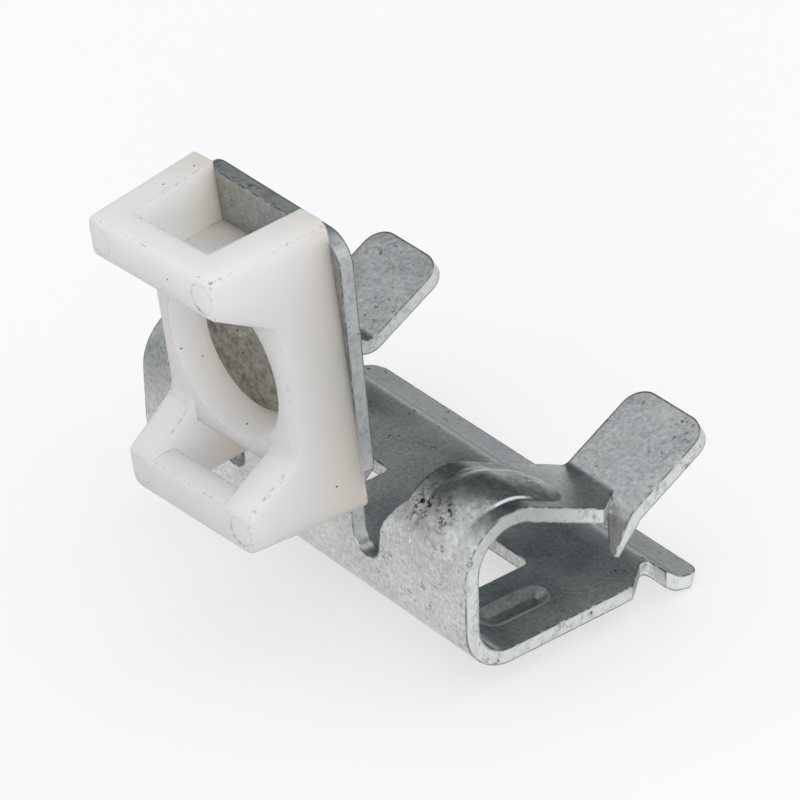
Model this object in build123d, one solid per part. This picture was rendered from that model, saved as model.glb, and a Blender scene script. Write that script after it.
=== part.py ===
from build123d import *
from math import atan2, cos, degrees, hypot, radians, sin, tan
import os

# Sheet-steel clip. All sizes are in millimetres.
sheet = 1.2                     # gauge of the spring steel
clip_length = 38.0              # along X
half_length = clip_length / 2
heel_outer = 4.2                # outer radius of the bend between base and wall
hump_outer = 4.4                # outer radius of the fold over the jaw

base_reach = 18.6               # from the front wall to the crease of the rear lip
lip_fall_angle = 40.0           # the lip first falls steeply, then runs out flatter
lip_fall_length = 1.87
lip_tail_angle = 15.0
lip_tail_length = 2.4
lip_bend = 1.6
lip_corner = 1.3

slope_angle = 25.25             # jaw falls from the hump towards the mouth
slope_pass_y = 12.88            # a point on the jaw's upper face
slope_pass_z = 9.24
flare_angle = 29.5              # thumb tab rises from the jaw's end
flare_root_y = 15.9             # crease between jaw and thumb tab, middle of the gauge
flare_length = 8.5
flare_bend = 1.4
flare_corner = 1.8
jaw_inner = 11.3                # inner side of a jaw, from the middle of the clip

tooth_angle = 62.0              # tooth hangs steeply from the crease
tooth_length = 3.2
tooth_width = 2.6               # at its root, on the outer side of the jaw
tooth_tip = 0.5                 # width and thickness that are left at its tip
tooth_cut_back = 3.0            # the shear line reaches back this far from the crease

wall_straight = 5.4             # height at which the upright tab starts to lean
lean_bend = 8.0
neck_half = 6.45                # narrow foot of the upright tab
tab_half = 8.2
neck_top = 10.2
tab_full = 12.7                 # the tab has its full width from this height up
tab_top = 32.2
tab_lean = 4.3                  # outwards
tab_corner = 2.2
relief_radius = 1.4             # round bottom of the gap beside the tab
relief_x = neck_half + relief_radius
relief_z = 6.6
gap_shoulder = 11.45            # from here up the gap is wide open
gap_spread = 0.85               # the jaw's side of the gap widens in two steps below that
gap_spread_fall = 1.7
gap_waist = 0.15
gap_waist_fall = 3.2
gap_depth = 1.75                # the gap is cut this deep, past the wall and its lean
spare = 2.0                     # cutting tools reach this far past what they cut

window_inner = 4.45             # the two openings in the base
window_outer = 11.8
window_front = 5.6
window_rear = 11.95
window_corner = 0.6

corner_cut_length = 3.2         # notch between the base's side and the lip
corner_cut_depth = 1.85
corner_cut_edge = 0.28          # the notch's rear edge lies this far behind the crease
corner_cut_flat = 0.9           # straight part at the notch's bottom
corner_cut_round = 0.5

bead_x = (jaw_inner + half_length) / 2
bead_half = 2.85                # stiffening bead over the hump
bead_rise = 0.5
bead_crest = 1.4                # half width of the punch's flat crest, on the bead's inside
bead_shift = 0.2                # the bead's turning axis lies this far down the slope
bead_turn = 140.0               # so that the bead runs out into the wall
bead_reach = 8.6                # Y of the bead's round end, on the slope
pit_half = 1.35                 # pressed pit in the base under the hump
pit_floor_half = 0.35           # its sides slope gently down to a narrow floor
pit_depth = 0.45
pit_swell = 0.4                 # its bulge below the base is this much wider on each side
pit_front = 5.7
pit_rear = 9.4

# Cable-tie saddle, a moulding on the upright tab.
saddle_z = 21.2                 # height of its rivet
saddle_twist = 3.65             # it sits turned on its rivet
back_width = 15.9
front_width = 14.5
back_height = 24.0
front_height = 22.9
saddle_depth = 9.8
bar_thick = 2.15
bar_height = 3.25
cradle_depth = 5.1              # from the tab to the bottom of the cradle
cradle_half = 5.35
cradle_round = 1.4
slot_back_half = 5.1            # tie slot, at the tab
slot_front_half = 4.37          # tie slot, behind the bars
block_half = 7.2                # the solid block between the two slot mouths
edge_round = 0.5
corner_round = 1.0
bar_round = 0.6                 # inner corners of the bars' free ends
pin_r = 1.15                    # shallow marks that the mould's ejector pins leave on the bars
pin_mark = 0.1
pin_x = 6.0
pin_z = 9.65

# Rivet through the saddle and the tab.
pocket_floor = 1.4
pocket_low_r = 5.4
pocket_mouth_r = 6.35
shank_r = 2.4
shank_clearance = 0.1
head_clearance = 0.1
head_rim = 1.3
head_edge = 0.2
tail_r = 3.8
tail_flat_r = 2.7
tail_rise = 1.3

seat_y = 14.0                   # the frame's origin lies on the base's upper face


def corner_run(points, radii):
    """Edges of a polyline whose inner corners are rounded."""
    edges = []
    start = points[0]
    for before, corner, after, radius in zip(points, points[1:], points[2:], radii):
        a = (corner - before).normalized()
        b = (after - corner).normalized()
        bend = radians(a.get_angle(b))
        cut = radius * tan(bend / 2)
        first = corner - a * cut
        last = corner + b * cut
        inward = (b - a).normalized()
        middle = corner + inward * (radius / cos(bend / 2) - radius)
        edges.append(Line(start, first))
        edges.append(ThreePointArc(first, middle, last))
        start = last
    edges.append(Line(start, points[-1]))
    return edges


def offset_points(path, radii, shift):
    """Corners and corner radii of a path moved sideways by shift, seen from +X."""
    side = []
    for a, b in zip(path, path[1:]):
        run = hypot(b[0] - a[0], b[1] - a[1])
        nx = -(b[1] - a[1]) / run * shift
        nz = (b[0] - a[0]) / run * shift
        side.append(((a[0] + nx, a[1] + nz), (b[0] + nx, b[1] + nz)))
    points = [side[0][0]]
    sizes = []
    for (a, b), (c, d), radius in zip(side, side[1:], radii):
        ux, uz = b[0] - a[0], b[1] - a[1]
        vx, vz = d[0] - c[0], d[1] - c[1]
        cross = ux * vz - uz * vx
        s = ((c[0] - a[0]) * vz - (c[1] - a[1]) * vx) / cross
        points.append((a[0] + s * ux, a[1] + s * uz))
        sizes.append(radius - shift if cross > 0 else radius + shift)
    points.append(side[-1][1])
    return points, sizes


def strip(path, radii, x_from, x_to, low=-sheet / 2, high=sheet / 2):
    """Folded sheet: a path of (y, z) points along the middle of the gauge."""
    left, left_r = offset_points(path, radii, high)
    right, right_r = offset_points(path, radii, low)
    one = [Vector(x_from, y, z) for y, z in left]
    two = [Vector(x_from, y, z) for y, z in right]
    edges = corner_run(one, left_r) + corner_run(two, right_r)
    edges.append(Line(one[0], two[0]))
    edges.append(Line(one[-1], two[-1]))
    return extrude(make_face(edges), amount=x_to - x_from, dir=(1, 0, 0))


def prism(points, plane, low, high):
    """Polygon drawn on a plane, extruded between two distances from it."""
    face = make_face(plane.offset(low).location * Polyline(*points, close=True))
    return extrude(face, amount=high - low, dir=plane.z_dir)


def both(solid):
    return solid + mirror(solid, about=Plane.YZ)


# Corners of the folded section, along the middle of the gauge.
mid = sheet / 2
crease = (base_reach, mid)
lip_knee = (
    crease[0] + lip_fall_length * cos(radians(lip_fall_angle)),
    crease[1] - lip_fall_length * sin(radians(lip_fall_angle)),
)
lip_end = (
    lip_knee[0] + lip_tail_length * cos(radians(lip_tail_angle)),
    lip_knee[1] - lip_tail_length * sin(radians(lip_tail_angle)),
)
heel = (mid, mid)
heel_mid = heel_outer - mid
hump_mid = hump_outer - mid
slope_drop = tan(radians(slope_angle))
slope_mid_z = slope_pass_z - mid / cos(radians(slope_angle))
hump = (mid, slope_mid_z + slope_drop * (slope_pass_y - mid))
root = (flare_root_y, slope_mid_z + slope_drop * (slope_pass_y - flare_root_y))
flare_run = cos(radians(flare_angle)), sin(radians(flare_angle))
flare_end = (root[0] + flare_length * flare_run[0], root[1] + flare_length * flare_run[1])
tooth_run = cos(radians(tooth_angle)), sin(radians(tooth_angle))
tooth_end = (root[0] - tooth_length * tooth_run[0], root[1] - tooth_length * tooth_run[1])
lean = tan(radians(tab_lean))
knee = (mid, wall_straight)
tab_end = (mid - (tab_top - wall_straight) * lean, tab_top)
split = tab_half + (jaw_inner - tab_half) / 5

# The middle of the clip: lip, base, bend and upright tab.
middle = strip(
    [lip_end, lip_knee, crease, heel, knee, tab_end],
    [lip_bend, lip_bend, heel_mid, lean_bend],
    -split,
    split,
)

# One jaw: lip, base, bend, wall, hump, slope and thumb tab.
jaw = strip(
    [lip_end, lip_knee, crease, heel, hump, root, flare_end],
    [lip_bend, lip_bend, heel_mid, hump_mid, flare_bend],
    split,
    half_length,
)
tooth_inner = half_length - tooth_width
shear = [
    (tooth_inner, flare_root_y + flare_bend / 2),
    (tooth_inner, flare_root_y),
    (half_length, flare_root_y - tooth_cut_back),
    (half_length + spare, flare_root_y - tooth_cut_back),
    (half_length + spare, flare_root_y + flare_bend / 2),
]
jaw -= prism(shear, Plane.XY, root[1] - spare, slope_pass_z + spare)
tooth = strip([flare_end, root, tooth_end], [flare_bend], tooth_inner, half_length)
tooth_plane = Plane(
    origin=(0, root[0], root[1]),
    x_dir=(1, 0, 0),
    z_dir=(0, -tooth_run[1], tooth_run[0]),
)
tooth_trim = [
    (tooth_inner - spare, 0),
    (tooth_inner, 0),
    (half_length - tooth_tip, -tooth_length),
    (half_length - tooth_tip, -tooth_length - spare),
    (tooth_inner - spare, -tooth_length - spare),
]
tooth -= prism(tooth_trim, tooth_plane, -spare, spare)
tooth_side = Plane(origin=(0, root[0], root[1]), x_dir=(0, *tooth_run), z_dir=(1, 0, 0))
tooth_taper = [
    (-tooth_tip, -mid),
    (-tooth_length, mid - tooth_tip),
    (-tooth_length - spare, mid - tooth_tip),
    (-tooth_length - spare, -sheet),
    (-tooth_tip, -sheet),
]
tooth -= prism(tooth_taper, tooth_side, tooth_inner - spare, half_length + spare)
jaw += tooth

# The gap between the tab and a jaw has a round bottom.
gap = [
    (neck_half, relief_z),
    (neck_half, neck_top),
    (tab_half, tab_full),
    (tab_half, tab_top + spare),
    (jaw_inner, tab_top + spare),
    (jaw_inner, gap_shoulder),
    (relief_x + relief_radius + gap_spread, gap_shoulder - gap_spread_fall),
    (relief_x + relief_radius + gap_waist, gap_shoulder - gap_waist_fall),
    (relief_x + relief_radius, relief_z),
]
gap_front = (tab_top - wall_straight) * lean + spare
gap_tool = prism(gap, Plane.XZ, -gap_depth, gap_front)
gap_tool += Pos(relief_x, 0, relief_z) * Rot(90, 0, 0) * Cylinder(relief_radius, 2 * gap_depth)
inside = [
    (split, gap_depth),
    (jaw_inner, gap_depth),
    (jaw_inner, flare_end[0] + spare),
    (split, flare_end[0] + spare),
]
inside_tool = prism(inside, Plane.XY, heel_outer, tab_top)

# Stiffening bead over the hump, pressed outwards, and the pit in the base below it.
slope_dir = Vector(0, cos(radians(slope_angle)), -sin(radians(slope_angle)))
slope_out = Vector(0, sin(radians(slope_angle)), cos(radians(slope_angle)))
along = Vector(1, 0, 0)
hump_z = slope_pass_z + slope_drop * slope_pass_y
hump_z -= hump_outer * (slope_drop + 1 / cos(radians(slope_angle)))
bead_axis = Vector(bead_x, hump_outer, hump_z) + slope_dir * bead_shift
bead_start = bead_axis + slope_out * hump_outer
bead_run = (bead_reach - bead_start.Y) / cos(radians(slope_angle))
bead_end = bead_start + slope_dir * bead_run


def bead_body(level, crest):
    """Bead over the hump, down the slope and its round end. With no flat crest its section is a lens."""
    foot = bead_start + slope_out * level
    crown = foot + slope_out * bead_rise
    low = slope_out * -mid
    wide = along * bead_half
    top = ThreePointArc(foot - wide, crown, foot + wide)
    if crest:
        top = Polyline(foot - wide, crown - along * crest, crown + along * crest, foot + wide)
    section = make_face([
        top,
        Polyline(foot + wide, foot + wide + low, foot - wide + low, foot - wide),
    ])
    body = revolve(section, axis=Axis(bead_axis, along), revolution_arc=bead_turn)
    body += extrude(section, amount=bead_run, dir=slope_dir)
    half = section & Pos(*(foot + wide)) * Box(2 * bead_half, clip_length, clip_length)
    half = Pos(*(slope_dir * bead_run)) * half
    return body + revolve(half, axis=Axis(bead_end, slope_out))


jaw = jaw + bead_body(0, 0) - bead_body(-sheet, bead_crest)

pit_middle = (pit_front + pit_rear) / 2
pit_slope = degrees(atan2(pit_half - pit_floor_half, pit_depth))


def pit_body(half, top):
    """Trough with sloping sides, drawn at its top and narrowing downwards."""
    outline = SlotCenterToCenter(pit_rear - pit_front, 2 * half, rotation=90)
    return Pos(bead_x, pit_middle, top) * extrude(outline, amount=-pit_depth, taper=pit_slope)


jaw = jaw + pit_body(pit_half + pit_swell, 0) - pit_body(pit_half, sheet)

# Openings in the base and the notch beside the lip.
window_size = (window_outer - window_inner, window_rear - window_front)
window_at = ((window_outer + window_inner) / 2, (window_rear + window_front) / 2)
window = extrude(RectangleRounded(*window_size, window_corner), amount=sheet + 2 * spare)
window = Pos(*window_at, -spare) * window
corner_cut_rear = base_reach + corner_cut_edge
corner_cut_front = corner_cut_rear - corner_cut_length
notch_points = [
    (half_length + spare, corner_cut_front),
    (half_length, corner_cut_front),
    (half_length - corner_cut_depth, corner_cut_rear - corner_cut_flat),
    (half_length - corner_cut_depth, corner_cut_rear),
    (half_length + spare, corner_cut_rear),
]
notch = prism(notch_points, Plane.XY, lip_end[1] - spare, sheet + spare)
notch_edges = [e for e in notch.edges().filter_by(Axis.Z) if e.center().X < half_length - 0.5]
notch = fillet(notch_edges, corner_cut_round)

clip = middle + both(jaw)
clip -= both(gap_tool)
clip -= both(inside_tool)
clip -= both(window)
clip -= both(notch)

tab_corners = [e for e in clip.edges() if e.center().Z > tab_top - 1 and abs(e.length - sheet) < 0.05]
tab_corners = [e for e in tab_corners if abs(abs(e.center().X) - tab_half) < 0.1]
clip = fillet(tab_corners, tab_corner)
flare_ends = [e for e in clip.edges() if abs(e.length - sheet) < 0.05 and e.center().Z > root[1]]
flare_ends = [e for e in flare_ends if abs(e.center().Y - flare_end[0]) < 0.5]
clip = fillet(flare_ends, flare_corner)
lip_ends = [e for e in clip.edges() if abs(e.length - sheet) < 0.05 and e.center().Z < sheet]
lip_ends = [e for e in lip_ends if e.center().Y > lip_end[0] - 0.5]
clip = fillet(lip_ends, lip_corner)


# Saddle, drawn with the tab's face at Y = 0 and its rivet at the origin. Both its plan and its side narrow
# towards the front, so that it leaves the mould.
plan = [
    (-back_width / 2, 0),
    (back_width / 2, 0),
    (front_width / 2, -saddle_depth),
    (-front_width / 2, -saddle_depth),
]
side = [
    (0, -back_height / 2),
    (0, back_height / 2),
    (-saddle_depth, front_height / 2),
    (-saddle_depth, -front_height / 2),
]
saddle = prism(plan, Plane.XY, -back_height, back_height) & prism(side, Plane.YZ, -back_width, back_width)
bar_low = front_height / 2 - bar_height
flank = (bar_low - cradle_half) / (saddle_depth - cradle_depth)
cradle = [
    (-cradle_depth, -cradle_half),
    (-cradle_depth, cradle_half),
    (-saddle_depth - spare, bar_low + spare * flank),
    (-saddle_depth - spare, -bar_low - spare * flank),
]
cradle_tool = prism(cradle, Plane.YZ, -back_width, back_width)
cradle_edges = [e for e in cradle_tool.edges().filter_by(Axis.X) if e.center().Y > -cradle_depth - 0.01]
cradle_tool = fillet(cradle_edges, cradle_round)
saddle -= cradle_tool
long_edges = [e for e in saddle.edges() if abs(e.center().Y + saddle_depth / 2) < 0.1]
saddle = fillet(long_edges, corner_round)
bar_ends = [e for e in saddle.edges() if e.center().Y < -cradle_depth - cradle_round]
bar_ends = [e for e in bar_ends if abs(e.center().Z) < bar_low and e.length < back_width / 2]
saddle = fillet(bar_ends, bar_round)
front_edges = [e for e in saddle.edges() if e.center().Y < -saddle_depth + 0.01]
saddle = fillet(front_edges, edge_round)
bar_front = [
    (-cradle_depth, -bar_low),
    (-cradle_depth, bar_low),
    (-saddle_depth - spare, bar_low),
    (-saddle_depth - spare, -bar_low),
]
saddle -= prism(bar_front, Plane.YZ, -slot_front_half, slot_front_half)


def slot_half(depth):
    return slot_back_half + (slot_front_half - slot_back_half) * depth / (saddle_depth - bar_thick)


def slot(depth_from, low, high):
    a = slot_half(depth_from)
    b = slot_half(saddle_depth - bar_thick)
    points = [
        (-a, -depth_from),
        (a, -depth_from),
        (b, -saddle_depth + bar_thick),
        (-b, -saddle_depth + bar_thick),
    ]
    return prism(points, Plane.XY, low, high)


tall = back_height
saddle -= slot(-spare, block_half, tall)
saddle -= slot(-spare, -tall, -block_half)
saddle -= slot(cradle_depth, -tall, tall)


def turned(points):
    """Solid of revolution about the rivet's axis from (radius, depth) points."""
    outline = make_face(Polyline(*[(r, -depth, 0) for r, depth in points], close=True))
    return revolve(outline, axis=Axis.Y)


pocket_slope = (pocket_mouth_r - pocket_low_r) / (cradle_depth - pocket_floor)
saddle -= turned([
    (0, pocket_floor),
    (pocket_low_r, pocket_floor),
    (pocket_mouth_r + spare * pocket_slope, cradle_depth + spare),
    (0, cradle_depth + spare),
])
hole_r = shank_r + shank_clearance
hole_end = pocket_floor + head_rim / 2
saddle -= turned([(0, -spare), (hole_r, -spare), (hole_r, hole_end), (0, hole_end)])

for x, z in ((-pin_x, -pin_z), (pin_x, -pin_z), (-pin_x, pin_z), (pin_x, pin_z)):
    saddle -= Pos(x, -saddle_depth, z) * Rot(90, 0, 0) * Cylinder(pin_r, 2 * pin_mark)

# Rivet with a flat head in the pocket and an upset tail behind the tab.
head_r = pocket_low_r - head_clearance
rim_depth = pocket_floor + head_rim
rivet = turned([
    (0, -sheet - tail_rise),
    (tail_flat_r, -sheet - tail_rise),
    (tail_r, -sheet),
    (shank_r, -sheet),
    (shank_r, pocket_floor),
    (head_r, pocket_floor),
    (head_r, rim_depth - head_edge),
    (head_r - head_edge, rim_depth),
    (0, rim_depth),
])

# Place saddle and rivet on the leaning tab, and drill the tab for the shank.
face_y = -(saddle_z - wall_straight) * lean + mid - mid / cos(radians(tab_lean))
seat = Pos(0, face_y, saddle_z) * Rot(tab_lean, 0, 0)
hole_far = -sheet - spare
shank_hole = turned([(0, hole_far), (hole_r, hole_far), (hole_r, spare), (0, spare)])
clip -= seat * shank_hole
saddle = seat * Rot(0, -saddle_twist, 0) * saddle
rivet = seat * rivet

home = Pos(0, -seat_y, -sheet)
os.makedirs("parts", exist_ok=True)
for name, piece in (("clip", clip), ("saddle", saddle), ("rivet", rivet)):
    solid = (home * piece).solid()
    export_step(solid, "parts/" + name + ".step")
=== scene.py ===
# %% [markdown]
# # A girder clip with a cable-tie saddle
# The real object is three pieces: a clip folded from zinc-coated spring steel, a moulded nylon saddle, and
# the rivet that holds the saddle on the clip's upright tab. Their shapes come from the imported CAD model, so
# this lesson is about finishes, light and the camera. The model is loaded first, and its box is kept.

# %% Load the imported model
import math
import bpy
from mathutils import Matrix, Vector


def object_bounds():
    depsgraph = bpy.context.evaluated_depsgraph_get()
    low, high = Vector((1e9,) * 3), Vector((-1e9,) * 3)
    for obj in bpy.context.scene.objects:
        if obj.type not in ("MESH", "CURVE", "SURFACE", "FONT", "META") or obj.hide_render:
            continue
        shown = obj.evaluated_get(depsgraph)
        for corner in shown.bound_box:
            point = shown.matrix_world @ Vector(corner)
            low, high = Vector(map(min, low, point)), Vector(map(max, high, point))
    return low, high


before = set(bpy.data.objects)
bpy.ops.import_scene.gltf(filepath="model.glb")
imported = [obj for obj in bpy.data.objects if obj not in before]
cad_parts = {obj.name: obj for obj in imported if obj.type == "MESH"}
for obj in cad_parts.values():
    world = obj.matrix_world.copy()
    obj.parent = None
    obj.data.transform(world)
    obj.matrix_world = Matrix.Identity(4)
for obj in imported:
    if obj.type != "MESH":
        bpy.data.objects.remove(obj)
cad_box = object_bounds()
bpy.ops.object.select_all(action="DESELECT")
scene = bpy.context.scene
MM = 0.001
print("pieces:", sorted(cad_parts))

# %% [markdown]
# ## Camera
# The photograph looks down on the clip from the front right with a long lens. A camera could be aimed with a
# Track To constraint, but a fitted view is easier to write as what a camera is: a position and three axes.
# It looks along its own -Z, with X to the right and Y up. The angles were fitted to the edges of the part,
# and the small roll is the tilt of the photograph itself.

# %% Camera
AZIMUTH, ELEVATION, ROLL = (math.radians(angle) for angle in (51.70, 32.86, -1.50))
CAMERA_PLACE = Vector((227.37, -183.98, 196.58)) * MM
back = Vector((
    math.sin(AZIMUTH) * math.cos(ELEVATION),
    -math.cos(AZIMUTH) * math.cos(ELEVATION),
    math.sin(ELEVATION),
))
level = Vector((math.cos(AZIMUTH), math.sin(AZIMUTH), 0))
steep = back.cross(level)
right = math.cos(ROLL) * level + math.sin(ROLL) * steep
up = -math.sin(ROLL) * level + math.cos(ROLL) * steep

camera_data = bpy.data.cameras.new("camera")
camera_data.sensor_width = 36
camera_data.lens = 211.0
camera_data.clip_start = 0.01
camera = bpy.data.objects.new("camera", camera_data)
turn = Matrix((right, up, back)).transposed().to_4x4()
camera.matrix_world = Matrix.Translation(CAMERA_PLACE) @ turn
scene.collection.objects.link(camera)
scene.camera = camera
print("camera at", CAMERA_PLACE[:], "lens", camera_data.lens)

# %% [markdown]
# ## Colours and nodes
# Colours are written as they look on a screen, in sRGB hex, and a shader wants linear values, so one function
# turns the one into the other. A second small function adds a node, sets it up and links it, because a
# material with many nodes is only readable when each node takes a line or two.

# %% Helpers
def linear(hex_code):
    """sRGB hex colour to linear RGBA."""
    parts = [int(hex_code[i:i + 2], 16) / 255 for i in (1, 3, 5)]
    return [c / 12.92 if c <= 0.04045 else ((c + 0.055) / 1.055) ** 2.4 for c in parts] + [1.0]


def node(tree, kind, values=None, **settings):
    """Adds a node. settings are its properties, values its inputs: a socket is linked, the rest is set."""
    made = tree.nodes.new("ShaderNode" + kind)
    for name, setting in settings.items():
        setattr(made, name, setting)
    for name, value in (values or {}).items():
        if isinstance(value, bpy.types.NodeSocket):
            tree.links.new(value, made.inputs[name])
        else:
            made.inputs[name].default_value = value
    return made


def new_material(name):
    """A new material, and its empty node tree."""
    material = bpy.data.materials.new(name)
    material.use_nodes = True
    material.node_tree.nodes.clear()
    return material, material.node_tree


print("a middle grey is", linear("#808080"))

# %% [markdown]
# ## Floor
# The clip lies on a white table. A floor that is only lit would need so much light to look white that the
# object would burn out. This one is a plain grey that takes the shadow, and it glows for the rays that see it
# directly, in a mirror or through glass, which lifts it to white without lighting the object.

# %% Floor
FLOOR_GAP, FLOOR_GLOW = 0.02 * MM, 0.54
lowest = Vector(cad_box[0]).z
bpy.ops.mesh.primitive_plane_add(size=1.2, location=(0, 0, lowest - FLOOR_GAP))
floor = bpy.context.object
floor.name = "floor"
floor_material, tree = new_material("white_table")
path = node(tree, "LightPath")
seen = path.outputs["Is Camera Ray"]
for ray in ("Is Glossy Ray", "Is Transmission Ray"):
    seen = node(tree, "Math", {0: seen, 1: path.outputs[ray]}, operation="MAXIMUM").outputs[0]
glow = node(tree, "Math", {0: seen, 1: FLOOR_GLOW}, operation="MULTIPLY")
paint = node(tree, "BsdfDiffuse", {"Color": linear("#a9a9a9")})
light = node(tree, "Emission", {"Color": linear("#ffffff"), "Strength": glow.outputs[0]})
both = node(tree, "AddShader", {0: paint.outputs[0], 1: light.outputs[0]})
node(tree, "OutputMaterial", {"Surface": both.outputs[0]})
floor.data.materials.append(floor_material)
print("floor at", lowest - FLOOR_GAP)

# %% [markdown]
# ## Tent and fill lamp
# Small parts like this are photographed in a white tent. Several lamps could stand round the table, but each
# would leave a hot spot in the steel. An even world is the simplest tent and lights all sides alike. One
# large, weak lamp low in front fills the face of the saddle, where the upper bar shades the lower one.

# %% Tent and lamp
world = bpy.data.worlds.new("soft_tent")
scene.world = world
world.use_nodes = True
tree = world.node_tree
tree.nodes.clear()
fabric = node(tree, "Background", {"Color": linear("#fbfcff"), "Strength": 1.06})
node(tree, "OutputWorld", {"Surface": fabric.outputs[0]})

fill_data = bpy.data.lights.new("front_fill", "AREA")
fill_data.shape = "SQUARE"
fill_data.size = 0.3
fill_data.energy = 0.70
fill = bpy.data.objects.new("front_fill", fill_data)
fill.location = (0.27, -0.30, 0.03)
fill.rotation_euler = fill.location.to_track_quat("Z", "Y").to_euler()
scene.collection.objects.link(fill)
scene.view_settings.view_transform = "Standard"
print(world.name, "and", fill.name, "of", fill_data.energy, "W")

# %% [markdown]
# ## Dark card
# Dull steel is a blurred mirror, so its greys come from what it faces. The wall and the cut ends lean towards
# the table and show its white. The base and the slopes look up, past the clip to the back of the room, and in
# an even tent they would be just as pale. Photographers stand a dark card there, and so does this scene. Only
# reflections see it, so it throws no shadow, takes no light from the nylon and stays out of the picture.

# %% Dark card
CARD_DISTANCE, CARD_HEIGHT = 0.10, 0.177
to_the_back = Vector((-0.64, 0.62, 0)).normalized()
bpy.ops.mesh.primitive_plane_add(size=0.32, location=(0, 0, 0))
card = bpy.context.object
card.name = "dark_card"
card.rotation_euler = to_the_back.to_track_quat("Z", "Y").to_euler()
card.location = to_the_back * CARD_DISTANCE + Vector((0, 0, lowest + CARD_HEIGHT))
card_material, tree = new_material("dark_card")
surface = node(tree, "BsdfDiffuse", {"Color": linear("#4c5557")})
node(tree, "OutputMaterial", {"Surface": surface.outputs[0]})
card.data.materials.append(card_material)
card.visible_camera = card.visible_diffuse = False
card.visible_shadow = card.visible_transmission = False
print("card at", card.location[:])

# %% [markdown]
# ## Zinc-coated spring steel
# The sheet was blanked, folded and then coated with zinc. The coat is a dull metal with soft clouds where it
# is thicker, a fine grain, dirt in dots that gather in patches, and torn edges. A picture of a real coat
# would have to be laid out over all the folds. Noise in Object coordinates needs no layout and has no seams,
# so each pattern is a noise at its own size. The scene is in metres, so a small function turns a size in
# millimetres into the scale that a texture node asks for.

# %% Zinc steel: patterns
def per_metre(size_mm):
    """Texture scale for a pattern whose features are size_mm apart."""
    return 1000 / size_mm


# Each has its size in millimetres, its detail and its roughness. The crystals of a zinc coat like this are
# nearer to 0.1 mm, which wouldn't show, so the grain is drawn coarser.
coat_patterns = {
    "cloud": (4.5, 5.0, 0.65),
    "grain": (0.36, 2.0, 0.60),
    "speck": (0.55, 3.0, 0.70),
    "patch": (3.2, 3.0, 0.60),
    "torn": (0.9, 4.0, 0.70),
}
zinc, tree = new_material("zinc_coated_steel")
place = node(tree, "TexCoord").outputs["Object"]
coat = {}
for name, (size_mm, detail, roughness) in coat_patterns.items():
    coat[name] = node(tree, "TexNoise", {
        "Vector": place,
        "Scale": per_metre(size_mm),
        "Detail": detail,
        "Roughness": roughness,
    }).outputs["Fac"]
print(zinc.name, "has", ", ".join(coat))

# %% [markdown]
# ## Edges, dots and flecks
# Real edges are never sharp. A bevel on the mesh would change the CAD shape, so a Bevel node rounds the edges
# in the shading alone. Where its normal leaves the true one, an edge is near, and that difference is the mask
# for the ragged line of dirt along the edges. The dark dots show only where a second, larger noise is high,
# and the pale rubbed flecks are a few cells of a Voronoi pattern, picked by the cell's random colour.

# %% Zinc steel: edges, dots and flecks
ZINC_EDGE = 0.26 * MM
geometry = node(tree, "NewGeometry")
soft = node(tree, "Bevel", {"Radius": ZINC_EDGE}, samples=6)
bend = node(tree, "VectorMath", {
    0: soft.outputs[0],
    1: geometry.outputs["Normal"],
}, operation="DOT_PRODUCT")
edge = node(tree, "MapRange", {"Value": bend.outputs["Value"], "From Min": 0.996, "From Max": 0.94})
ragged = node(tree, "MapRange", {"Value": coat["torn"], "From Min": 0.38, "From Max": 0.52})
ragged = node(tree, "Math", {0: edge.outputs[0], 1: ragged.outputs[0]}, operation="MULTIPLY")
dots = node(tree, "MapRange", {"Value": coat["speck"], "From Min": 0.58, "From Max": 0.70})
gather = node(tree, "MapRange", {"Value": coat["patch"], "From Min": 0.44, "From Max": 0.62})
dots = node(tree, "Math", {0: dots.outputs[0], 1: gather.outputs[0]}, operation="MULTIPLY")
dirt = node(tree, "Math", {0: dots.outputs[0], 1: ragged.outputs[0]}, operation="MAXIMUM")

cells = node(tree, "TexVoronoi", {"Vector": place, "Scale": per_metre(1.3)})
middle = node(tree, "MapRange", {"Value": cells.outputs["Distance"], "From Min": 0.10, "From Max": 0.05})
chance = node(tree, "SeparateColor", {0: cells.outputs["Color"]})
picked = node(tree, "MapRange", {"Value": chance.outputs[0], "From Min": 0.72, "From Max": 0.74})
flecks = node(tree, "Math", {0: middle.outputs[0], 1: picked.outputs[0]}, operation="MULTIPLY")
print("edges look rounded by", ZINC_EDGE, "m")

# %% [markdown]
# ## Blanked edges
# Where the press has cut the sheet, the coat is thin, rough and a little broken. The cut faces could be given
# a material of their own, but the CAD node is one mesh that stays as it is. Their direction tells them apart:
# they look sideways, along the folds, or up at the top of the tab.

# %% Zinc steel: blanked edges
TAB_TOP, TAB_TOP_CLEAR = 30.5 * MM, 29.5 * MM
spot = node(tree, "SeparateXYZ", {0: place})
facing = node(tree, "SeparateXYZ", {0: geometry.outputs["True Normal"]})
sideways = node(tree, "Math", {0: facing.outputs["X"]}, operation="ABSOLUTE")
ends = node(tree, "MapRange", {"Value": sideways.outputs[0], "From Min": 0.75, "From Max": 0.95})
looks_up = node(tree, "MapRange", {"Value": facing.outputs["Z"], "From Min": 0.5, "From Max": 0.8})
crest = node(tree, "MapRange", {"Value": spot.outputs["Z"], "From Min": TAB_TOP_CLEAR, "From Max": TAB_TOP})
crest = node(tree, "Math", {0: crest.outputs[0], 1: looks_up.outputs[0]}, operation="MULTIPLY")
blanked = node(tree, "Math", {0: ends.outputs[0], 1: crest.outputs[0]}, operation="MAXIMUM")
print("blanked edges: the ends of the folds, and the tab above", TAB_TOP_CLEAR, "m")
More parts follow.
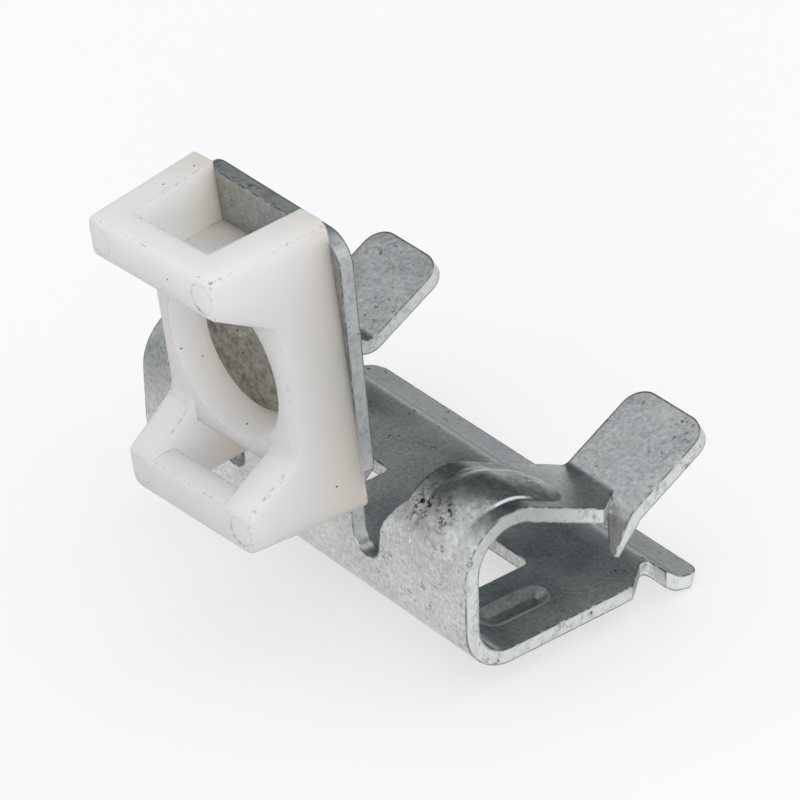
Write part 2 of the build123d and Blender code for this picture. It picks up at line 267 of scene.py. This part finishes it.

# %% [markdown]
# ## Tab, wall and lip
# Light and shade are painted into the coat here. Painted shade darkens the upright tab, where the saddle
# shades it, with some dirt on the tab's cut edges, and the crease of the lip, over the reflection its bend
# would show.
# The wall gets a faint warmer tint, and a painted reflection makes the lip paler. Painting this by hand would
# need a picture, so each place is a mask made from the direction of a face and its height or depth.

# %% Zinc steel: tab, wall and lip
WALL_TOP, TAB_START = 11.0 * MM, 14.0 * MM
LIP_START, LIP_FULL = 2.6 * MM, 6.2 * MM
TAB_SHADE_AND_DIRT, CREASE_SHADE, LIP_REFLECTION = 0.5, 0.8, 0.5
tall = node(tree, "MapRange", {"Value": spot.outputs["Z"], "From Min": WALL_TOP, "From Max": TAB_START})
# Painted shade on the tab's face, where the saddle shades it, and dirt on the tab's cut edges, above the
# wall.
tab_face = node(tree, "MapRange", {"Value": facing.outputs["Y"], "From Min": -0.94, "From Max": -0.98})
tab_face = node(tree, "Math", {0: tab_face.outputs[0], 1: blanked.outputs[0]}, operation="MAXIMUM")
tab_shade_and_dirt = node(tree, "Math", {0: tab_face.outputs[0], 1: tall.outputs[0]}, operation="MULTIPLY")
tab_shade_and_dirt = node(tree, "Math", {0: tab_shade_and_dirt.outputs[0], 1: TAB_SHADE_AND_DIRT}, operation="MULTIPLY")

wall_face = node(tree, "MapRange", {"Value": facing.outputs["Y"], "From Min": -0.80, "From Max": -0.95})
below_tab = node(tree, "Math", {0: 1.0, 1: tall.outputs[0]}, operation="SUBTRACT")
wall_warm = node(tree, "Math", {0: wall_face.outputs[0], 1: below_tab.outputs[0]}, operation="MULTIPLY")

low = node(tree, "MapRange", {"Value": spot.outputs["Z"], "From Min": 1.5 * MM, "From Max": 0.5 * MM})
# Painted shade in the crease of the lip, over the bright reflection of its bend.
crease_shade = node(tree, "MapRange", {
    "Value": facing.outputs["Y"],
    "From Min": 0.42,
    "From Max": 0.56,
    "To Max": CREASE_SHADE,
})
crease_shade = node(tree, "Math", {0: crease_shade.outputs[0], 1: low.outputs[0]}, operation="MULTIPLY")
lip = node(tree, "MapRange", {"Value": spot.outputs["Y"], "From Min": LIP_START, "From Max": LIP_FULL})
lip = node(tree, "Math", {0: lip.outputs[0], 1: low.outputs[0]}, operation="MULTIPLY")
# A painted reflection: the lip is made paler.
lip_reflection = node(tree, "Math", {0: lip.outputs[0], 1: LIP_REFLECTION}, operation="MULTIPLY")
print("tab above", WALL_TOP, "m, lip behind", LIP_START, "m")

# %% [markdown]
# ## Humps
# Shade is also painted over both humps, broken into patches, and a painted shadow of the saddle lies on the
# front of one hump beside it. These places have no direction of their own, so their masks are distances from
# a point. The two jaws are alike, so one mask serves both: it takes the distance from the middle of the clip
# without its sign. Of two painted shades that overlap, the stronger one counts.

# %% Zinc steel: humps
HUMP = Vector((14.5, -8.0, 11.0)) * MM
BESIDE_SADDLE = Vector((-17.5, -13.7, 8.8)) * MM
across = node(tree, "Math", {0: spot.outputs["X"]}, operation="ABSOLUTE")
one_half = node(tree, "CombineXYZ", {
    "X": across.outputs[0],
    "Y": spot.outputs["Y"],
    "Z": spot.outputs["Z"],
})
# Painted shade over both humps, broken into patches by the torn noise.
hump_shade = node(tree, "VectorMath", {0: one_half.outputs[0], 1: HUMP}, operation="DISTANCE")
hump_shade = node(tree, "MapRange", {
    "Value": hump_shade.outputs["Value"],
    "From Min": 8.0 * MM,
    "From Max": 4.0 * MM,
    "To Max": 0.75,
})
shade_patches = node(tree, "MapRange", {"Value": coat["torn"], "From Min": 0.30, "From Max": 0.54})
hump_shade = node(tree, "Math", {0: hump_shade.outputs[0], 1: shade_patches.outputs[0]}, operation="MULTIPLY")
# A painted shadow of the saddle on the front of the left hump.
saddle_shadow = node(tree, "VectorMath", {0: place, 1: BESIDE_SADDLE}, operation="DISTANCE")
saddle_shadow = node(tree, "MapRange", {
    "Value": saddle_shadow.outputs["Value"],
    "From Min": 6.5 * MM,
    "From Max": 0.8 * MM,
    "To Max": 0.85,
})
# The painted shades come together here, with the dirt on the tab's cut edges.
shade_and_tab_dirt = tab_shade_and_dirt
for other in (crease_shade, hump_shade, saddle_shadow):
    shade_and_tab_dirt = node(tree, "Math", {0: shade_and_tab_dirt.outputs[0], 1: other.outputs[0]}, operation="MAXIMUM")
print("dull round", HUMP[:], "and", BESIDE_SADDLE[:])

# %% [markdown]
# ## Painted highlights on the beads
# Each hump has a bead pressed into it, and bright highlights are painted on it: a thin line along the bead's
# outer foot and a wider one over its inner shoulder, round the bead's end. Seen from above the shoulder is a
# slot with a round end. It could be drawn as a line and an arc, but one distance gives both, when the place
# along the bead counts from the bead's end and is held at zero before it.

# %% Zinc steel: line along the foot
BEAD_FOOT = Vector((17.62, -8.7, 11.4)) * MM
# A painted highlight along the bead's outer foot.
foot = node(tree, "VectorMath", {0: one_half.outputs[0], 1: BEAD_FOOT}, operation="SUBTRACT")
foot = node(tree, "VectorMath", {0: foot.outputs[0]}, operation="ABSOLUTE")
foot = node(tree, "SeparateXYZ", {0: foot.outputs[0]})
line = node(tree, "MapRange", {"Value": foot.outputs["X"], "From Min": 0.20 * MM, "From Max": 0.06 * MM})
fade = node(tree, "MapRange", {"Value": foot.outputs["Y"], "From Min": 2.1 * MM, "From Max": 1.2 * MM})
foot_highlight = node(tree, "Math", {0: line.outputs[0], 1: fade.outputs[0]}, operation="MULTIPLY")
print("rubbed line at", BEAD_FOOT[:])

# %% Zinc steel: line over the shoulder
BEAD_MIDDLE, BEAD_END, SHOULDER = Vector((15.0, 0, 0)) * MM, -5.0 * MM, 1.55 * MM
# A painted highlight over the bead's inner shoulder, round its end.
past_end = node(tree, "Math", {0: spot.outputs["Y"], 1: BEAD_END}, operation="SUBTRACT")
past_end = node(tree, "Math", {0: past_end.outputs[0], 1: 0.0}, operation="MAXIMUM")
slot = node(tree, "CombineXYZ", {"X": across.outputs[0], "Y": past_end.outputs[0]})
shoulder_highlight = node(tree, "VectorMath", {0: slot.outputs[0], 1: BEAD_MIDDLE}, operation="DISTANCE")
shoulder_highlight = node(tree, "Math", {0: shoulder_highlight.outputs["Value"], 1: SHOULDER}, operation="SUBTRACT")
shoulder_highlight = node(tree, "Math", {0: shoulder_highlight.outputs[0]}, operation="ABSOLUTE")
shoulder_highlight = node(tree, "MapRange", {"Value": shoulder_highlight.outputs[0], "From Min": 0.5 * MM, "From Max": 0.0})
inner = node(tree, "MapRange", {"Value": across.outputs[0], "From Min": 16.0 * MM, "From Max": 14.8 * MM})
start = node(tree, "MapRange", {"Value": spot.outputs["Y"], "From Min": -10.5 * MM, "From Max": -8.0 * MM})
for limit in (inner, start):
    shoulder_highlight = node(tree, "Math", {0: shoulder_highlight.outputs[0], 1: limit.outputs[0]}, operation="MULTIPLY")

# Both lines lie on top of the humps alone, not on the base below them.
on_hump = node(tree, "MapRange", {"Value": spot.outputs["Z"], "From Min": 8.0 * MM, "From Max": 8.6 * MM})
bead_highlights = node(tree, "Math", {0: foot_highlight.outputs[0], 1: shoulder_highlight.outputs[0]}, operation="MAXIMUM")
for limit in (on_hump, looks_up):
    bead_highlights = node(tree, "Math", {0: bead_highlights.outputs[0], 1: limit.outputs[0]}, operation="MULTIPLY")
print("rubbed line", SHOULDER, "m from the bead's middle")

# %% [markdown]
# ## Black scuffs
# The front of one hump has two black scuffs where the clip was knocked. Each is a soft ball round a point,
# and the dot noise breaks it up into small marks, so that it looks chipped and not sprayed on.

# %% Zinc steel: scuffs
KNOCKS = [Vector(point) * MM for point in ((12.9, -12.6, 10.4), (15.0, -12.5, 10.5))]
balls = []
for knock in KNOCKS:
    away = node(tree, "VectorMath", {0: place, 1: knock}, operation="DISTANCE")
    balls.append(node(tree, "MapRange", {
        "Value": away.outputs["Value"],
        "From Min": 1.7 * MM,
        "From Max": 0.5 * MM,
    }))
scuffs = node(tree, "Math", {0: balls[0].outputs[0], 1: balls[1].outputs[0]}, operation="MAXIMUM")
marks = node(tree, "MapRange", {"Value": coat["speck"], "From Min": 0.50, "From Max": 0.58})
scuffs = node(tree, "Math", {0: scuffs.outputs[0], 1: marks.outputs[0]}, operation="MULTIPLY")
print(len(KNOCKS), "scuffs")

# %% [markdown]
# ## The zinc's colour
# A grey from the clouds and the grain comes first, with a more broken grey on the blanked edges. The masks
# then lay their colours over it one by one, as a painter glazes: multiplied for the painted shade and the
# wall's tint, and mixed in for the lip's painted reflection, the dirt, scuffs and flecks, and the painted
# highlights on the beads. A Mix node has sockets for every kind of value: 0 is the share, 2 and 3 are the two
# numbers, and 6 and 7 the two colours, which come out at 2.

# %% Zinc steel: colour
tone = node(tree, "Mix", {0: 0.55, 2: coat["cloud"], 3: coat["grain"]})
faces = node(tree, "ValToRGB", {"Fac": tone.outputs[0]})
broken = node(tree, "ValToRGB", {"Fac": coat["torn"]})
zinc_greys = (
    (faces, ((0.36, "#b2b5b5"), (0.62, "#dddfde"))),
    (broken, ((0.32, "#b9bdbd"), (0.52, "#dddfde"))),
)
for ramp, stops in zinc_greys:
    for stop, (position, shade) in zip(ramp.color_ramp.elements, stops):
        stop.position = position
        stop.color = linear(shade)
colour = node(tree, "Mix", {
    0: blanked.outputs[0],
    6: faces.outputs[0],
    7: broken.outputs[0],
}, data_type="RGBA")
# Lip layer: painted reflection. Dull layer: painted shade, with dirt on the tab. Last: painted bead
# highlights.
layers = (
    (lip_reflection, "#f2f4f4", "MIX"),
    (wall_warm, "#fffefb", "MULTIPLY"),
    (shade_and_tab_dirt, "#a8acab", "MULTIPLY"),
    (dirt, "#565956", "MIX"),
    (scuffs, "#1f201f", "MIX"),
    (flecks, "#f2f4f4", "MIX"),
    (bead_highlights, "#f4f6f6", "MIX"),
)
for mask, shade, way in layers:
    colour = node(tree, "Mix", {
        0: mask.outputs[0],
        6: colour.outputs[2],
        7: linear(shade),
    }, data_type="RGBA", blend_type=way)
print(len(layers), "layers over the grey")

# %% [markdown]
# ## The zinc's surface
# Bare polished steel has a roughness near 0.2. The zinc coat about doubles that, and the blanked edges, the
# lip and the painted highlight lines are rougher still, so they gather light from all round and look paler.
# The grain could be modelled, but a shallow bump in the shading is enough to break up the reflections.

# %% Zinc steel: surface
height = node(tree, "Mix", {0: 0.35, 2: coat["grain"], 3: coat["torn"]})
bump = node(tree, "Bump", {
    "Height": height.outputs[0],
    "Strength": 0.35,
    "Distance": 0.06 * MM,
    "Normal": soft.outputs[0],
})
rough = node(tree, "MapRange", {
    "Value": coat["cloud"],
    "From Min": 0.35,
    "From Max": 0.65,
    "To Min": 0.33,
    "To Max": 0.43,
})
lip_or_cut = node(tree, "Math", {0: lip.outputs[0], 1: blanked.outputs[0]}, operation="MAXIMUM")
for mask, roughness in ((lip_or_cut, 0.62), (bead_highlights, 1.0)):
    rough = node(tree, "Mix", {0: mask.outputs[0], 2: rough.outputs[0], 3: roughness})
shader = node(tree, "BsdfPrincipled", {
    "Base Color": colour.outputs[2],
    "Metallic": 1.0,
    "Roughness": rough.outputs[0],
    "Normal": bump.outputs["Normal"],
})
node(tree, "OutputMaterial", {"Surface": shader.outputs[0]})
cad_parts["clip"].data.materials.clear()
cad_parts["clip"].data.materials.append(zinc)
print(zinc.name, len(tree.nodes), "nodes")

# %% [markdown]
# ## Natural nylon
# The saddle is moulded from nylon with no pigment, and handling has left grey scuffs along its edges. They
# could be drawn by hand, edge by edge, but the Bevel node finds the sharp edges by itself, as on the steel,
# and the rounded ones are the faces that look in no main direction, so that no part of their normal is large.
# A fine smear breaks the scuffs up, and a larger noise gathers them in patches.

# %% Nylon: scuffed edges and painted edge shade
NYLON_EDGE, EDGE_SHADE = 0.20 * MM, 0.14
nylon, tree = new_material("natural_nylon")
place = node(tree, "TexCoord").outputs["Object"]
geometry = node(tree, "NewGeometry")
soft = node(tree, "Bevel", {"Radius": NYLON_EDGE}, samples=6)
bend = node(tree, "VectorMath", {
    0: soft.outputs[0],
    1: geometry.outputs["Normal"],
}, operation="DOT_PRODUCT")
sharp = node(tree, "MapRange", {"Value": bend.outputs["Value"], "From Min": 0.995, "From Max": 0.96})
turned = node(tree, "VectorMath", {0: geometry.outputs["True Normal"]}, operation="ABSOLUTE")
turned = node(tree, "SeparateXYZ", {0: turned.outputs[0]})
largest = turned.outputs["X"]
for axis in ("Y", "Z"):
    largest = node(tree, "Math", {0: largest, 1: turned.outputs[axis]}, operation="MAXIMUM").outputs[0]
rounded = node(tree, "MapRange", {"Value": largest, "From Min": 0.79, "From Max": 0.73})

smear = node(tree, "TexNoise", {
    "Vector": place,
    "Scale": per_metre(0.36),
    "Detail": 4.0,
    "Roughness": 0.7,
})
smear = node(tree, "MapRange", {"Value": smear.outputs["Fac"], "From Min": 0.49, "From Max": 0.62})
patch = node(tree, "TexNoise", {"Vector": place, "Scale": per_metre(3.5), "Detail": 2.0})
patch = node(tree, "MapRange", {"Value": patch.outputs["Fac"], "From Min": 0.38, "From Max": 0.56})
scuffs_and_edge_shade = node(tree, "Math", {0: sharp.outputs[0], 1: rounded.outputs[0]}, operation="MAXIMUM")
for limit in (smear, patch):
    scuffs_and_edge_shade = node(tree, "Math", {0: scuffs_and_edge_shade.outputs[0], 1: limit.outputs[0]}, operation="MULTIPLY")
# A faint line of painted shade stays along every sharp edge, where there is no scuff too, and outlines the
# rings of the pin marks.
edge_shade = node(tree, "Math", {0: sharp.outputs[0], 1: EDGE_SHADE}, operation="MULTIPLY")
scuffs_and_edge_shade = node(tree, "Math", {0: scuffs_and_edge_shade.outputs[0], 1: edge_shade.outputs[0]}, operation="MAXIMUM")
print("edges look rounded by", NYLON_EDGE, "m")

# %% [markdown]
# ## Specks in the nylon
# Natural nylon often has a few burnt specks in it. Noise alone would do, but some of them are plain to see on
# the real one, so five stand at given places. The rest are left to chance, in a few cells of a Voronoi
# pattern.

# %% Nylon: specks
SPECKS = (
    (-6.3, -20.1, 31.1),
    (-5.8, -19.7, 17.5),
    (-5.0, -18.4, 16.7),
    (0.4, -18.7, 13.7),
    (8.3, -16.9, 11.5),
)
cells = node(tree, "TexVoronoi", {"Vector": place, "Scale": per_metre(1.6)})
middle = node(tree, "MapRange", {"Value": cells.outputs["Distance"], "From Min": 0.060, "From Max": 0.035})
chance = node(tree, "SeparateColor", {0: cells.outputs["Color"]})
picked = node(tree, "MapRange", {"Value": chance.outputs[0], "From Min": 0.80, "From Max": 0.82})
specks = node(tree, "Math", {0: middle.outputs[0], 1: picked.outputs[0]}, operation="MULTIPLY")
for speck in SPECKS:
    away = node(tree, "VectorMath", {0: place, 1: Vector(speck) * MM}, operation="DISTANCE")
    near = node(tree, "MapRange", {
        "Value": away.outputs["Value"],
        "From Min": 0.12 * MM,
        "From Max": 0.05 * MM,
    })
    specks = node(tree, "Math", {0: specks.outputs[0], 1: near.outputs[0]}, operation="MAXIMUM")
print(len(SPECKS), "specks placed by hand")

# %% [markdown]
# ## The nylon's milk
# Natural nylon is milky: light goes in, scatters over a few millimetres and comes out elsewhere. That is the
# subsurface part of the Principled shader. The walls of the tie slot are so thin that light also passes right
# through them, which keeps their insides bright. Full transmission would make them look like glass, so a
# Translucent shader adds that instead. Towards the metal the milk turns creamy.

# %% Nylon: colour and surface
CREAMY_FROM, CREAMY_TO = -20.0 * MM, -15.0 * MM
MILK_DEPTH, LIGHT_THROUGH = 4.5 * MM, 0.45
depth = node(tree, "SeparateXYZ", {0: place})
creamy = node(tree, "MapRange", {
    "Value": depth.outputs["Y"],
    "From Min": CREAMY_FROM,
    "From Max": CREAMY_TO,
    "To Max": 0.65,
})
colour = node(tree, "Mix", {
    0: creamy.outputs[0],
    6: linear("#f4f3f2"),
    7: linear("#f1e6d4"),
}, data_type="RGBA")
for mask, shade in ((scuffs_and_edge_shade, "#a8a49c"), (specks, "#2c2a28")):
    colour = node(tree, "Mix", {
        0: mask.outputs[0],
        6: colour.outputs[2],
        7: linear(shade),
    }, data_type="RGBA")
shader = node(tree, "BsdfPrincipled", {
    "Base Color": colour.outputs[2],
    "Roughness": 0.42,
    "IOR": 1.53,
    "Subsurface Weight": 1.0,
    "Subsurface Radius": (1.0, 0.96, 0.90),
    "Subsurface Scale": MILK_DEPTH,
    "Normal": soft.outputs[0],
})
through = node(tree, "BsdfTranslucent", {"Color": colour.outputs[2], "Normal": soft.outputs[0]})
milky = node(tree, "MixShader", {0: LIGHT_THROUGH, 1: shader.outputs[0], 2: through.outputs[0]})
node(tree, "OutputMaterial", {"Surface": milky.outputs[0]})
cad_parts["saddle"].data.materials.clear()
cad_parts["saddle"].data.materials.append(nylon)
print(nylon.name, len(tree.nodes), "nodes")

# %% [markdown]
# ## Rivet
# The face at the bottom of the pocket is bare steel that was upset in a press. It is darker and browner than
# the zinc, mottled, and dotted with black. It is small and sits in shade, so two noises are enough: one gives
# the mottle and its shallow bump, and the other the dots.

# %% Rivet
rivet, tree = new_material("dull_rivet_steel")
place = node(tree, "TexCoord").outputs["Object"]
mottle = node(tree, "TexNoise", {
    "Vector": place,
    "Scale": per_metre(0.9),
    "Detail": 6.0,
    "Roughness": 0.75,
})
dots = node(tree, "TexNoise", {"Vector": place, "Scale": per_metre(0.5), "Detail": 2.0})
dots = node(tree, "MapRange", {"Value": dots.outputs["Fac"], "From Min": 0.66, "From Max": 0.70})
browns = node(tree, "ValToRGB", {"Fac": mottle.outputs["Fac"]})
for stop, (position, shade) in zip(browns.color_ramp.elements, ((0.36, "#615e56"), (0.68, "#a5a097"))):
    stop.position = position
    stop.color = linear(shade)
colour = node(tree, "Mix", {
    0: dots.outputs[0],
    6: browns.outputs[0],
    7: linear("#33302b"),
}, data_type="RGBA")
bump = node(tree, "Bump", {"Height": mottle.outputs["Fac"], "Strength": 0.4, "Distance": 0.08 * MM})
shader = node(tree, "BsdfPrincipled", {
    "Base Color": colour.outputs[2],
    "Metallic": 1.0,
    "Roughness": 0.48,
    "Normal": bump.outputs["Normal"],
})
node(tree, "OutputMaterial", {"Surface": shader.outputs[0]})
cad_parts["rivet"].data.materials.clear()
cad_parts["rivet"].data.materials.append(rivet)
print(rivet.name, len(tree.nodes), "nodes")

# %% [markdown]
# ## Size and finish
# The looks must not change the size, and the view layer is brought up to date.

# %% Finish
bpy.context.view_layer.update()
